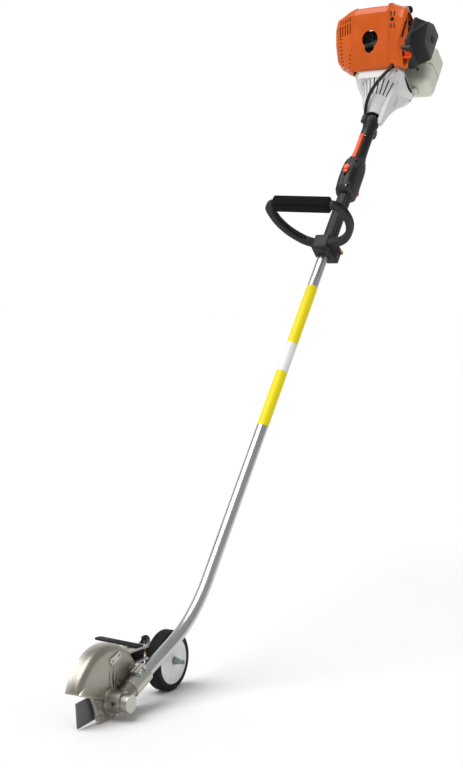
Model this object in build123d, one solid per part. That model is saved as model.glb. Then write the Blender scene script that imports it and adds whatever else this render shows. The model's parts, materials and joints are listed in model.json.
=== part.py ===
from build123d import *
import math
import os

# Curved-shaft petrol stick edger, in millimetres and degrees.
# Row frame: +X to the operator's left (gearbox side), +Y rearwards, +Z up.
# The origin is on the drive tube's axis, on the bare stretch below the loop handle.

# ---- Driving dimensions -----------------------------------------------------------------------
TUBE_R = 12.7
TUBE_BORE_R = 10.5
LINER_R = 10.4
LINER_BORE_R = 4.0
CABLE_R = 3.3
INCLINE = 52.0
BEND_R = 322.7
BEND_ANGLE = 30.3
BEND_START = -815.6
TUBE_TOP = 512.0
LOWER_RUN = 195.0
TUBE_SOCKET = 46.0

BLADE_HALF = 93.0
BLADE_WIDTH = 47.0
BLADE_THICK = 3.0
BLADE_X = -29.0
BLADE_DROOP = 5.0
GUARD_R = 104.0
GUARD_INNER_R = 101.0
GUARD_PLATE_X = -18.0
GUARD_PLATE_T = 3.5
GUARD_RIM_X = -50.0
GUARD_SHOULDER = 12.0

WHEEL_Y = -596.7
WHEEL_Z = -790.0
TYRE_R = 60.0
DISC_R = 47.3
WHEEL_FRONT_X = -20.0
WHEEL_BACK_X = -52.0
PLATE_X = -61.0
PLATE_T = 3.0
BOLT_Y = -644.0
BOLT_Z = -763.0
SLOT_R = 3.4
AXLE_R = 4.0

SLEEVE_START = 80.5
SLEEVE_END = 227.5
SLEEVE_R = 17.0
GRIP_START = 228.0
HOUSING_END = 329.0
GRIP_END = 456.0
COLLAR_END = 480.0
HANDLE_T0 = 42.0
HANDLE_T1 = 80.0
HANDLE_T = 61.0
HANDLE_BORE_R = 13.0
LOOP_RIGHT_H = 155.0
LOOP_LEFT_H = 168.0

BELL_PROFILE = ((22.0, 492.0), (29.0, 510.0), (36.0, 526.0), (49.0, 562.0), (61.0, 582.0), (76.0, 600.0))
BELL_WALL = 2.6
DRUM_R = 33.0
FLYWHEEL_R = 53.0
CYLINDER_T = 655.0
PULLEY_T = 774.0
PULLEY_R = 36.0
ROPE_X = 34.0
ROPE_R = 1.6
SHROUD_LEFT = -66.0
SHROUD_RIGHT = 30.0
COWL_RIGHT = 62.0
FILTER_X = 79.5
FILTER_FACE_X = 121.0

LABEL_START = -438.0
LABEL_END = -52.0

# ---- Frames -----------------------------------------------------------------------------------
SIN = math.sin(math.radians(INCLINE))
COS = math.cos(math.radians(INCLINE))
LOWER = INCLINE - BEND_ANGLE
bend_start = Vector(0, COS * BEND_START, SIN * BEND_START)
bend_centre = bend_start + Vector(0, -SIN, COS) * BEND_R


def on_bend(angle):
    """Point of the bend where the tube is inclined at this angle."""
    a = math.radians(angle)
    return bend_centre + Vector(0, math.sin(a), -math.cos(a)) * BEND_R


lower_dir = Vector(0, math.cos(math.radians(LOWER)), math.sin(math.radians(LOWER)))
bend_end = on_bend(LOWER)
axis_point = bend_end - lower_dir * LOWER_RUN

# Upper frame: local z up the shaft, local y towards the tank, local x is +X.
UPPER = Plane(origin=(0, 0, 0), x_dir=(1, 0, 0), z_dir=(0, COS, SIN))
# Head frame: local x is +Y, local y is +Z, local z is +X, at the blade's axis.
HEAD = Plane(origin=axis_point, x_dir=(0, 1, 0), z_dir=(1, 0, 0))
# Neck frame: local z up the tube's lower end, local x is +X, at the blade's axis.
NECK = Plane(origin=axis_point, x_dir=(1, 0, 0), z_dir=lower_dir)
# Wheel frame: like the head frame, at the wheel's centre.
WHEEL = Plane(origin=(0, WHEEL_Y, WHEEL_Z), x_dir=(0, 1, 0), z_dir=(1, 0, 0))

FLAT = (Align.CENTER, Align.CENTER, Align.MIN)
parts = {}


# ---- Helpers ----------------------------------------------------------------------------------
def cyl(radius, low, high, x=0.0, y=0.0):
    """Cylinder along local z between two heights."""
    return Pos(x, y, low) * Cylinder(radius, high - low, align=FLAT)


def tube(outer, inner, low, high, x=0.0, y=0.0):
    """Ring along local z between two heights."""
    return cyl(outer, low, high, x, y) - cyl(inner, low - 1, high + 1, x, y)


def block(x0, x1, y0, y1, z0, z1):
    """Box from its two corners."""
    return Pos((x0 + x1) / 2, (y0 + y1) / 2, (z0 + z1) / 2) * Box(x1 - x0, y1 - y0, z1 - z0)


def engine_block(x0, x1, h0, h1, t0, t1):
    """Box in the upper frame from X, height over the tube and place along the tube."""
    return block(x0, x1, -h1, -h0, t0, t1)


def rounded(shape, radius, axis=None):
    """Fillet all edges, or only those parallel to one axis."""
    edges = shape.edges() if axis is None else shape.edges().filter_by(axis)
    return fillet(edges, radius)


def bar(radius, start, end):
    """Cylinder between two points."""
    start = Vector(*start)
    run = Vector(*end) - start
    return Plane(origin=start, z_dir=run) * Cylinder(radius, run.length, align=FLAT)


def turned(points):
    """Solid turned about local z from radius and height pairs."""
    return revolve(Plane.XZ * make_face(Polyline(*points, close=True)), Axis.Z)


def side_prism(points, x0, x1):
    """Prism along X from place along the tube and height over the tube pairs, in the upper frame."""
    outline = Polyline(*[(-h, t) for t, h in points], close=True)
    plane = Plane(origin=(x0, 0, 0), x_dir=(0, 1, 0), z_dir=(1, 0, 0))
    return extrude(plane * make_face(outline), x1 - x0)


def side_loft(near, near_x, far, far_x):
    """Loft along X between two side outlines of the same number of corners, in the upper frame."""
    faces = []
    for points, x in ((near, near_x), (far, far_x)):
        plane = Plane(origin=(x, 0, 0), x_dir=(0, 1, 0), z_dir=(1, 0, 0))
        faces.append(plane * make_face(Polyline(*[(-h, t) for t, h in points], close=True)))
    return loft(faces)


def upper(shape):
    return UPPER.location * shape


def head(shape):
    return HEAD.location * shape


def neck(shape):
    return NECK.location * shape


def wheel(shape):
    return WHEEL.location * shape


def group(*shapes):
    """Several separate solids in one node."""
    return Compound(children=[s for s in shapes])


def screw(x, y, low, high, radius=2.0, head_radius=3.8, head_height=3.0):
    """Socket screw along local z, head at the high end."""
    body = cyl(radius, low, high, x, y) + cyl(head_radius, high, high + head_height, x, y)
    return body - Pos(x, y, high + head_height) * extrude(RegularPolygon(head_radius * 0.55, 6), -1.8)


# ---- Drive tube, liner, cable and label ---------------------------------------------------------
tube_path = Wire([
    Line((0, COS * TUBE_TOP, SIN * TUBE_TOP), bend_start),
    ThreePointArc(bend_start, on_bend(INCLINE - BEND_ANGLE / 2), bend_end),
    Line(bend_end, axis_point + lower_dir * TUBE_SOCKET),
])
tube_end = Plane(origin=(0, COS * TUBE_TOP, SIN * TUBE_TOP), x_dir=(1, 0, 0), z_dir=(0, -COS, -SIN))
parts["drive_tube"] = sweep(tube_end * Circle(TUBE_R), tube_path) - sweep(tube_end * Circle(TUBE_BORE_R), tube_path)
parts["tube_liner"] = sweep(tube_end * Circle(LINER_R), tube_path) - sweep(tube_end * Circle(LINER_BORE_R), tube_path)
parts["drive_cable"] = sweep(tube_end * Circle(CABLE_R), tube_path)
parts["tube_label"] = upper(tube(TUBE_R + 0.25, TUBE_R + 0.02, LABEL_START, LABEL_END))

# ---- Spacer sleeve --------------------------------------------------------------------------------
sleeve = tube(SLEEVE_R, TUBE_R + 0.1, SLEEVE_START, SLEEVE_END)
for i in range(14):
    groove = block(SLEEVE_R - 1.4, SLEEVE_R + 2, -1.6, 1.6, SLEEVE_START - 1, SLEEVE_END + 1)
    sleeve -= Rot(0, 0, i * 360 / 14) * groove
parts["spacer_sleeve"] = upper(sleeve)

# ---- Loop handle ------------------------------------------------------------------------------------
loop_plane = Plane(origin=(0, 0, HANDLE_T), x_dir=(1, 0, 0), z_dir=(0, 0, -1))
LOOP_ENDS = (74.0, -68.0)
loop_slope = (LOOP_LEFT_H - LOOP_RIGHT_H) / (LOOP_ENDS[0] - LOOP_ENDS[1])
right_side = Spline((6, 25), (42, 29), (74, 49), (93, 80), (98, 108), (93, 138), (LOOP_ENDS[0], LOOP_RIGHT_H),
                    tangents=[(1, 0.0), (-1, loop_slope)])
top_bar = Line((LOOP_ENDS[0], LOOP_RIGHT_H), (LOOP_ENDS[1], LOOP_LEFT_H))
left_side = Spline((LOOP_ENDS[1], LOOP_LEFT_H), (-83, 152), (-80, 112), (-66, 74), (-40, 40), (-6, 25),
                   tangents=[(-1, loop_slope), (1, -0.1)])
loop_path = loop_plane * Wire([right_side, top_bar, left_side])
loop_start = Plane(origin=loop_path @ 0, x_dir=(0, 0, 1), z_dir=loop_path % 0)
loop_bar = sweep(loop_start * RectangleRounded(20, 17, 6), loop_path)
collar = cyl(21, HANDLE_T0, HANDLE_T1)
saddle = rounded(engine_block(-19, 19, 8, 35, HANDLE_T0 + 3, HANDLE_T1 - 3), 4, Axis.Z)
ears = rounded(engine_block(-17, 28, -27, -6, HANDLE_T0 + 1, HANDLE_T1 - 1), 3, Axis.Z)
loop_frame = loop_bar + collar + saddle + ears
loop_frame -= cyl(HANDLE_BORE_R, HANDLE_T0 - 1, HANDLE_T1 + 1)
loop_frame -= engine_block(-1.2, 1.2, -40, -5, HANDLE_T0 - 1, HANDLE_T1 + 1)
loop_frame -= bar(2.6, (-30, 21, 70), (40, 21, 70))
loop_frame -= bar(5.2, (-30, 21, 70), (-13, 21, 70))
parts["loop_frame"] = upper(loop_frame)
pad = rounded(block(-69, 69, -15, 15, -15, 15), 7, Axis.X)
pad -= rounded(block(-80, 80, -8.7, 8.7, -10.2, 10.2), 6, Axis.X)
pad_place = Pos(3, -(LOOP_LEFT_H + LOOP_RIGHT_H) / 2, HANDLE_T) * Rot(0, 0, math.degrees(math.atan(loop_slope)))
parts["loop_pad"] = upper(pad_place * pad)
handle_screw = bar(2.5, (-16, 21, 70), (28.2, 21, 70)) + bar(5.0, (28.2, 21, 70), (33.0, 21, 70))
handle_screw += bar(4.9, (-17, 21, 70), (-13.2, 21, 70))
parts["handle_screw"] = upper(handle_screw)

# ---- Throttle grip -------------------------------------------------------------------------------------
TRIGGER_PIVOT = (-21.0, 317.0)
LEVER_PIVOT = (18.6, 412.0)
switch_box = rounded(engine_block(-22, 22, -30, 34, GRIP_START, HOUSING_END), 9)
handle_bar = Pos(0, -1, HOUSING_END - 12) * extrude(Ellipse(16, 18), GRIP_END - HOUSING_END + 14)
collar_top = rounded(cyl(20.5, GRIP_END - 3, COLLAR_END), 3)
bulge = rounded(engine_block(-11, 11, -31, -8, 440, 472), 7)
hose_boss = cyl(7.0, 462, COLLAR_END, -11, -19)
hump = rounded(engine_block(-9, 9, -40, -20, 327, 339), 3)
grip = switch_box + handle_bar + collar_top + bulge + hose_boss + hump
grip -= cyl(TUBE_R + 0.1, GRIP_START - 1, COLLAR_END + 1)
grip -= engine_block(-6.4, 6.4, -60, -13.2, 262, 326.4)
grip -= engine_block(-4.8, 4.8, 13.2, 40, 331, 419)
grip -= engine_block(-3.0, 3.0, 27, 40, 266, 300)
GRIP_SCREWS = ((-22.0, 240.0), (26.0, 240.0), (26.0, 318.0), (-23.0, 456.0))
for h, t in GRIP_SCREWS:
    grip -= bar(2.1, (-30, -h, t), (30, -h, t))
    grip -= bar(4.0, (9, -h, t), (40, -h, t))
grip -= bar(2.02, (-12, -TRIGGER_PIVOT[0], TRIGGER_PIVOT[1]), (12, -TRIGGER_PIVOT[0], TRIGGER_PIVOT[1]))
grip -= bar(1.52, (-10, -LEVER_PIVOT[0], LEVER_PIVOT[1]), (10, -LEVER_PIVOT[0], LEVER_PIVOT[1]))
parts["grip_shell_left"] = upper(grip & engine_block(0.05, 60, -80, 80, 200, 500))
parts["grip_shell_right"] = upper(grip & engine_block(-60, -0.05, -80, 80, 200, 500))
grip_screws = []
for h, t in GRIP_SCREWS:
    grip_screws.append(bar(2.0, (-8, -h, t), (9, -h, t)) + bar(3.7, (9, -h, t), (11.5, -h, t)))
trigger_pin = bar(2.0, (-11.5, 21, TRIGGER_PIVOT[1]), (11.5, 21, TRIGGER_PIVOT[1]))
lever_pin = bar(1.5, (-9.5, -18.6, LEVER_PIVOT[1]), (9.5, -18.6, LEVER_PIVOT[1]))
parts["grip_fasteners"] = group(*[upper(s) for s in grip_screws + [trigger_pin, lever_pin]])
trigger = side_prism(((322, -17.5), (323, -26), (312, -33), (292, -40), (276, -49), (270, -46),
                      (280, -36), (296, -24), (308, -17.5)), -5.8, 5.8)
trigger -= bar(2.15, (-10, 21, TRIGGER_PIVOT[1]), (10, 21, TRIGGER_PIVOT[1]))
parts["throttle_trigger"] = upper(trigger)
lever = side_prism(((336, 17.4), (334, 20), (338, 24), (400, 23.6), (417, 21.5), (417, 16.8)), -4.2, 4.2)
lever -= bar(1.65, (-10, -18.6, LEVER_PIVOT[1]), (10, -18.6, LEVER_PIVOT[1]))
parts["lockout_lever"] = upper(lever)
slider = engine_block(-2.4, 2.4, 29, 34.6, 284, 296)
slider += bar(7.0, (0, -34.6, 292), (0, -40.0, 292)) + bar(5.5, (0, -34.6, 281), (0, -38.5, 281))
parts["stop_switch"] = upper(slider)

# ---- Fan housing, bush and clutch ------------------------------------------------------------------------
bell_outer = [(r, t) for r, t in BELL_PROFILE]
bell_inner = [(r - BELL_WALL, t) for r, t in BELL_PROFILE[2:]]
bell_curve = Spline(*bell_outer)
bell_inside = Spline(*reversed(bell_inner))
bell_face = make_face([
    Line((19.6, 492), (22, 492)),
    bell_curve,
    Line((76, 600), (73.4, 600)),
    bell_inside,
    Line((33.4, 526), (33.4, 518)),
    Line((33.4, 518), (15.1, 518)),
    Line((15.1, 518), (15.1, 514.5)),
    Line((15.1, 514.5), (19.6, 514.5)),
    Line((19.6, 514.5), (19.6, 492)),
])
bell = revolve(Plane.XZ * bell_face, Axis.Z)
seat = tube(20.0, 15.1, 517, 534)
flange = tube(78.0, 71.0, 599, 603)
bell += seat + flange
rim_box = engine_block(-65.5, 65.5, -90, 57.5, 480, 620)
bell = bell & rim_box
bell += (cyl(74, 572, 603) & engine_block(-66, 66, 55.2, 57.5, 575, 603)) - engine_block(-90, 90, -90, 55.2, 500, 620)
for i in range(9):
    slot = engine_block(-1.6, 1.6, 30, 72, 536, 576)
    bell -= Rot(0, 0, -52 + i * 13) * slot
for i in range(4):
    bell -= Rot(0, 0, 45 + i * 90) * cyl(2.2, 590, 610, 74.2, 0)
    bell -= Rot(0, 0, 45 + i * 90) * cyl(3.5, 590, 598.9, 74.2, 0)
parts["fan_housing"] = upper(bell)
parts["neck_bush"] = upper(tube(19.5, TUBE_R + 0.1, 492.5, 513.5))
bearings = [upper(tube(15.0, 6.1, 519.5, 532))]
drum = tube(DRUM_R, DRUM_R - 2.5, 560, 580) + cyl(DRUM_R, 556, 560) + cyl(6.0, 518, 557)
parts["clutch_drum"] = upper(drum)
hull = turned([(0.0, 470.0), (22.5, 470.0), (22.5, 492.0)] + [(r + 1.4, t) for r, t in BELL_PROFILE[1:5]]
              + [(79.0, 597.0), (79.0, 660.0), (0.0, 660.0)])
strut = side_prism(((470, -2), (500, 16), (560, 30), (598, 34), (598, -30), (652, -56), (652, -86),
                    (616, -60), (584, -42), (507, -6)), 12, 56) - hull
for h in (2, -7):
    strut -= Pos(0, -h, 560) * Rot(-20, 0, 0) * Box(140, 3, 30)
strut_solids = strut.solids().sort_by(SortBy.VOLUME)
parts["tank_strut"] = upper(strut_solids[-1])
shoes = cyl(29.0, 566, 580) - cyl(9.0, 560, 590) - block(-40, 40, -2, 2, 560, 590)
parts["clutch_shoes"] = upper(shoes)

# ---- Crank, flywheel, crankcase, cylinder -------------------------------------------------------------------
flywheel = cyl(FLYWHEEL_R - 12, 583, 590) + cyl(14, 582, 601)
for i in range(16):
    flywheel += Rot(0, 0, i * 22.5) * block(18, FLYWHEEL_R, -1.2, 1.2, 589, 600)
flywheel += tube(FLYWHEEL_R, FLYWHEEL_R - 4, 589, 592)
flywheel -= cyl(7.55, 570, 610)
parts["flywheel"] = upper(flywheel)
crank = cyl(7.5, 565, 742) + cyl(24, 640, 648) + cyl(24, 662, 670)
crank += cyl(6, 648, 662, 0, -15)
parts["crankshaft"] = upper(crank)
case_flange = tube(78, 16.2, 604, 609) & engine_block(-65.5, 65.5, -90, 57.5, 480, 620)
case = tube(34, 28, 612, 696) + case_flange + tube(34, 16.2, 609, 620) + tube(34, 16.2, 688, 700)
case += tube(30, 20.6, 0, 30).rotate(Axis.X, 90).translate((0, -12, CYLINDER_T)) - cyl(28, 612, 696)
for i in range(4):
    case -= Rot(0, 0, 45 + i * 90) * cyl(1.9, 595, 612, 74.2, 0)
case -= bar(20.6, (0, 0, CYLINDER_T), (0, -60, CYLINDER_T))
parts["crankcase"] = upper(case)
bearings += [upper(tube(16, 7.6, low, low + 9)) for low in (610, 689)]
barrel = bar(24, (0, -42.3, CYLINDER_T), (0, -84, CYLINDER_T))
for i in range(7):
    fin = engine_block(-32, 32, 45 + i * 5.4, 47 + i * 5.4, CYLINDER_T - 28, CYLINDER_T + 30)
    barrel += rounded(fin, 10, Axis.Y)
barrel -= bar(20.6, (0, -30, CYLINDER_T), (0, -76, CYLINDER_T))
barrel -= bar(5.1, (-8, -70, CYLINDER_T), (-8, -95, CYLINDER_T))
parts["cylinder"] = upper(barrel)
plug = bar(5.0, (-8, -73, CYLINDER_T), (-8, -84, CYLINDER_T)) + bar(7.5, (-8, -84, CYLINDER_T), (-8, -89, CYLINDER_T))
plug += bar(4.2, (-8, -88, CYLINDER_T), (-8, -95, CYLINDER_T))
parts["spark_plug"] = upper(plug)
boot = bar(8.5, (-8, -89.3, CYLINDER_T), (-8, -101, CYLINDER_T))
boot += bar(5.5, (-8, -95, CYLINDER_T), (-34, -95, CYLINDER_T - 6))
boot -= bar(4.3, (-8, -80, CYLINDER_T), (-8, -95.3, CYLINDER_T))
coil = rounded(engine_block(-24, 8, 40, 58, 612, 620), 2, Axis.Z)
parts["ignition_coil"] = group(upper(boot), upper(coil))
bell_screws = []
for i in range(4):
    place = Rot(0, 0, 45 + i * 90)
    bell_screws.append(upper(place * (cyl(1.8, 598.5, 611, 74.2, 0) + cyl(3.2, 595.6, 598.7, 74.2, 0))))

# ---- Muffler, covers and intake ----------------------------------------------------------------------------------
parts["muffler"] = upper(rounded(engine_block(-93, -36, 36, 72, 637, 704), 8))
SHROUD_SIDE = ((600, 58), (604, 68), (706, 150), (724, 154), (742, 140), (757, 100), (757, 60))
SHROUD_IN = ((598, 50), (606.5, 66.5), (707, 147), (723, 151.2), (739.8, 139), (754.5, 99.5), (754.5, 50))
shroud = side_prism(SHROUD_SIDE, SHROUD_LEFT, SHROUD_RIGHT)
shroud -= side_prism(SHROUD_IN, SHROUD_LEFT - 1, SHROUD_RIGHT + 1)
shroud -= bar(19.5, (-18, -60, CYLINDER_T), (-18, -140, CYLINDER_T))
shroud -= bar(11.5, (-16, -60, CYLINDER_T - 24), (-16, -140, CYLINDER_T - 24))
parts["engine_cover"] = upper(shroud)
MUFFLER_NEAR = ((597, 40), (597, 62), (706, 151), (728, 153), (757, 108), (757, 40))
MUFFLER_FAR = ((636, 28), (632, 72), (690, 124), (722, 131), (742, 102), (738, 28))
cover = side_loft(MUFFLER_NEAR, SHROUD_LEFT - 0.4, MUFFLER_FAR, -117)
near_in = ((600, 30), (599.6, 61), (707, 148), (727, 150), (754.5, 107), (754.5, 30))
far_in = ((638, 20), (634.6, 71), (691, 121.5), (720.5, 128.3), (739, 101.5), (735.5, 20))
cover -= side_loft(near_in, SHROUD_LEFT, far_in, -114)
for i in range(5):
    cover -= engine_block(-112 + i * 9, -109 + i * 9, 100, 190, 655, 735)
for i in range(9):
    cover -= engine_block(-130, -96, 38 + i * 7.5, 41 + i * 7.5, 600, 660)
cover_solids = cover.solids().sort_by(SortBy.VOLUME)
parts["muffler_cover"] = upper(cover_solids[-1])
COWL_NEAR = ((593, 58.3), (597, 72), (704, 156), (725, 159), (746, 143), (761, 100), (761, 58.3))
COWL_FAR = ((593, 58.3), (597, 68), (690, 128), (722, 132), (742, 120), (761, 92), (761, 58.3))
cowl_near_in = ((590, 50), (599.5, 70.5), (705, 153), (724, 156), (743.8, 142), (758.5, 99.5), (758.5, 50))
cowl_far_in = ((590, 50), (599.5, 66.5), (691, 125), (721, 129), (739.8, 119), (758.5, 91.5), (758.5, 50))
cowl = side_loft(COWL_NEAR, SHROUD_RIGHT + 0.4, COWL_FAR, COWL_RIGHT)
cowl -= side_loft(cowl_near_in, SHROUD_RIGHT + 0.3, cowl_far_in, COWL_RIGHT + 0.1)
tip_face = make_face(Polyline((61, 592), (96, 584), (92, 592), (61.5, 626), close=True))
cowl += Pos(0, -57.6, 0) * extrude(Plane.XZ * tip_face, 2.6)
for x in (40, 47):
    cowl -= engine_block(x - 1.8, x + 1.8, 120, 200, 690, 712)
    cowl -= engine_block(x - 1.8, x + 1.8, 100, 200, 650, 668)
cowl -= bar(8.0, (44.5, -66, 560), (44.5, -66, 625))
parts["intake_cowl"] = upper(cowl)
carb = engine_block(40, 61, 42, 80, 636, 690) + engine_block(33.4, 40, 48, 76, 640, 672) - bar(9, (30, -62, 656), (70, -62, 656))
parts["carburettor"] = upper(carb)
base_side = ((641, 16), (641, 88), (657, 98), (680, 98), (684, 86), (738, 86), (748, 76), (748, 16))
base = side_prism(base_side, COWL_RIGHT + 0.5, FILTER_X)
base += rounded(engine_block(COWL_RIGHT + 0.5, 92, 30, 92, 634, 642), 4, Axis.Z)
base -= bar(9, (50, -62, 656), (72, -62, 656))
base -= bar(3.2, (81, -72, 630), (81, -72, 641.4))
base -= bar(3.0, (60, -62, 702), (90, -62, 702))
base -= bar(4.0, (71, -70, 698), (71, -90, 698))
parts["filter_base"] = upper(base)
FILTER_NEAR = ((645, 14), (645, 88), (664, 106), (738, 102), (750, 14))
FILTER_FAR = ((655, 22), (661, 82), (717, 101), (740, 66), (742, 24))
filter_cover = side_loft(FILTER_NEAR, FILTER_X + 0.4, FILTER_FAR, FILTER_FACE_X)
filter_near_in = ((647.6, 16.6), (647.6, 87), (665, 103.3), (735.8, 99.5), (747.2, 16.6))
filter_far_in = ((658, 25), (663.6, 80), (716, 98), (737, 65), (739, 27))
filter_cover -= side_loft(filter_near_in, FILTER_X - 0.1, filter_far_in, FILTER_FACE_X - 2.6)
filter_cover -= bar(3.3, (90, -50, 702), (130, -50, 702))
filter_cover -= bar(8.5, (FILTER_FACE_X - 1.2, -50, 702), (130, -50, 702))
parts["filter_cover"] = upper(filter_cover)
element = engine_block(FILTER_X + 1, 104, 28, 78, 664, 734) - bar(5, (70, -50, 702), (120, -50, 702))
parts["filter_element"] = upper(element)
knob = bar(3.0, (84, -50, 702), (FILTER_FACE_X - 0.8, -50, 702))
knob += bar(8.0, (FILTER_FACE_X - 0.8, -50, 702), (FILTER_FACE_X + 2.6, -50, 702))
knob -= Pos(FILTER_FACE_X + 2.6, -50, 702) * Box(3, 2.2, 13)
parts["cover_screw"] = upper(knob)
choke = bar(2.9, (81, -72, 628), (81, -72, 641.4)) + bar(8.5, (81, -72, 624), (81, -72, 633.4))
choke += engine_block(71, 91, 69.5, 74.5, 618, 626)
parts["choke_knob"] = upper(choke)
bulb = bar(8.2, (71, -90, 698), (71, -95, 698)) + Pos(71, -95, 698) * Sphere(8.2)
bulb &= engine_block(50, 90, 90, 110, 680, 715)
parts["primer_bulb"] = upper(bulb + bar(3.6, (71, -76, 698), (71, -91, 698)))

# ---- Fuel tank ------------------------------------------------------------------------------------------------
tank = rounded(engine_block(-78, 88, -106, -38, 655, 784), 16)
tank -= rounded(engine_block(-75.2, 85.2, -103.2, -40.8, 657.8, 781.2), 13)
tank += cyl(16, 640, 662, -50, 74) - cyl(13, 630, 670, -50, 74)
tank -= cyl(13, 630, 664, -50, 74)
tank -= bar(3.4, (55, 30, 694), (55, 46, 694))
parts["fuel_tank"] = upper(tank)
cap = cyl(19.5, 628, 650, -50, 74) - cyl(16.4, 631.5, 651, -50, 74)
for i in range(12):
    cap -= Pos(-50, 74, 0) * Rot(0, 0, i * 30) * cyl(1.6, 627, 651, 20.2, 0)
parts["fuel_cap"] = upper(cap)
line_path = Spline((55, 52, 694), (55, 34, 694), (55, 10, 688), (53, -20, 680), (51, -41.6, 676),
                   tangents=[(0, -1, 0), (0, -1, 0)])
line_start = Plane(origin=line_path @ 0, z_dir=line_path % 0)
fuel_filter = bar(6.5, (55, 52.4, 694), (55, 74, 694))
parts["fuel_line"] = group(upper(sweep(line_start * Circle(2.8), line_path)), upper(fuel_filter))

# ---- Recoil starter ----------------------------------------------------------------------------------------------
shell = tube(58, 55.5, 706, 790) + cyl(58, 788, 790.5) + cyl(6, 762, 789)
shell += bar(9, (ROPE_X, -50, PULLEY_T), (ROPE_X, -80, PULLEY_T)) - cyl(55.4, 700, 789)
shell -= bar(2.6, (ROPE_X, -30, PULLEY_T), (ROPE_X, -90, PULLEY_T))
shell -= block(-80, 80, 37.4, 80, 640, 792)
shell -= engine_block(-80, 80, 50, 90, 700, PULLEY_T - 9.5)
shell_solids = shell.solids().sort_by(SortBy.VOLUME)
parts["starter_housing"] = upper(shell_solids[-1])
pulley = cyl(PULLEY_R, PULLEY_T - 6, PULLEY_T + 6) - tube(60, 32, PULLEY_T - 2.4, PULLEY_T + 2.4)
pulley -= cyl(6.4, PULLEY_T - 20, PULLEY_T + 20)
parts["starter_pulley"] = upper(pulley)
rope = bar(ROPE_R, (ROPE_X, 0, PULLEY_T), (ROPE_X, -84, PULLEY_T))
parts["starter_rope"] = upper(rope)
handle = rounded(engine_block(ROPE_X - 27, ROPE_X + 27, 82, 101, PULLEY_T - 8, PULLEY_T + 9), 7)
handle -= bar(ROPE_R + 0.05, (ROPE_X, -70, PULLEY_T), (ROPE_X, -84.2, PULLEY_T))
parts["starter_grip"] = upper(handle)

# ---- Throttle hose ----------------------------------------------------------------------------------------------
hose_path = Spline((-11, -19, 480.6), (-12.5, -27, 493), (-6, -45, 522), (10, -58, 548), (30, -66, 574),
                   (43, -67.5, 592), (46, -65, 608), tangents=[(0, 0, 1), (0, 0, 1)])
hose_start = Plane(origin=hose_path @ 0, z_dir=hose_path % 0)
parts["throttle_hose"] = upper(sweep(hose_start * Circle(4.2), hose_path))

# ---- Gearbox -------------------------------------------------------------------------------------------------------
body = cyl(24, -17.8, -11) + cyl(21.5, -11, 12) + cyl(17, 12, 24)
body = head(body) + neck(cyl(16.5, 14, 40) + cyl(17.6, 38, 93))
body += neck(rounded(block(-8, 8, -25, -12, 60, 90), 2, Axis.Z))
body -= head(cyl(14.6, -19, 18.8))
body -= neck(cyl(11.0, 0, 45))
body -= neck(cyl(TUBE_R + 0.05, 45, 95))
body -= neck(block(-0.9, 0.9, -40, -5, 56, 95))
for z in (66, 84):
    body -= neck(bar(2.1, (-30, -19.5, z), (30, -19.5, z)))
body -= head(bar(5.6, (-30, 2, 2), (-10, 2, 2)))
body -= head(cyl(11, 18, 26))
parts["gearbox_housing"] = body
parts["gearbox_cap"] = head(cyl(10.9, 19, 24.5) + cyl(17, 24.2, 27.5))
plug_body = head(bar(5.5, (-23.6, 2, 2), (-15.6, 2, 2)))
plug_body -= head(Pos(-23.6, 2, 2) * Rot(0, 90, 0) * extrude(RegularPolygon(3.0, 6), 4))
parts["grease_plug"] = plug_body
neck_screws = []
for z in (66, 84):
    stem = bar(2.0, (-7.8, -19.5, z), (8.2, -19.5, z))
    neck_screws.append(neck(stem + bar(3.6, (8.2, -19.5, z), (11.4, -19.5, z))))
bearings += [neck(tube(10.95, 4.1, low, low + 7)) for low in (26, 36)]
pinion = cyl(4.0, 22, 44.6) + Pos(0, 0, 14) * Cone(9.8, 6.0, 9, align=FLAT)
parts["pinion_gear"] = neck(pinion)
bearings += [head(tube(14.5, 5.1, low, low + 5.4)) for low in (-17.4, 13.2)]
parts["ball_bearings"] = group(*bearings)
gear = Pos(0, 0, -11.5) * Cone(8.0, 13.0, 1.0, align=FLAT) + cyl(13, -10.5, -8.8)
parts["output_shaft"] = head(cyl(5.0, -42, 18.4) + gear)

# ---- Blade and its clamping ---------------------------------------------------------------------------------------
blade_low = BLADE_X - BLADE_THICK / 2
blade_high = BLADE_X + BLADE_THICK / 2
blade = Rot(0, 0, BLADE_DROOP) * block(-BLADE_HALF, BLADE_HALF, -BLADE_WIDTH / 2, BLADE_WIDTH / 2,
                                      blade_low, blade_high)
parts["blade"] = head(blade - cyl(12.5, blade_low - 1, blade_high + 1))
inner_washer = cyl(12.4, blade_low + 0.4, blade_high) + cyl(17, blade_high, -22.4)
outer_washer = tube(17, 5.05, blade_low - 3.0, blade_low)
nut = Pos(0, 0, blade_low - 9.5) * extrude(RegularPolygon(8.5, 6), 6.3)
clamp_bore = cyl(5.05, -60, 0)
parts["blade_clamp"] = group(head(inner_washer - clamp_bore), head(outer_washer), head(nut - clamp_bore))

# ---- Guard ---------------------------------------------------------------------------------------------------------
front = math.radians(162)
rear = math.radians(8)
plate_low = GUARD_PLATE_X - GUARD_PLATE_T


def rim_point(radius, angle):
    return (radius * math.cos(angle), radius * math.sin(angle))


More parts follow.
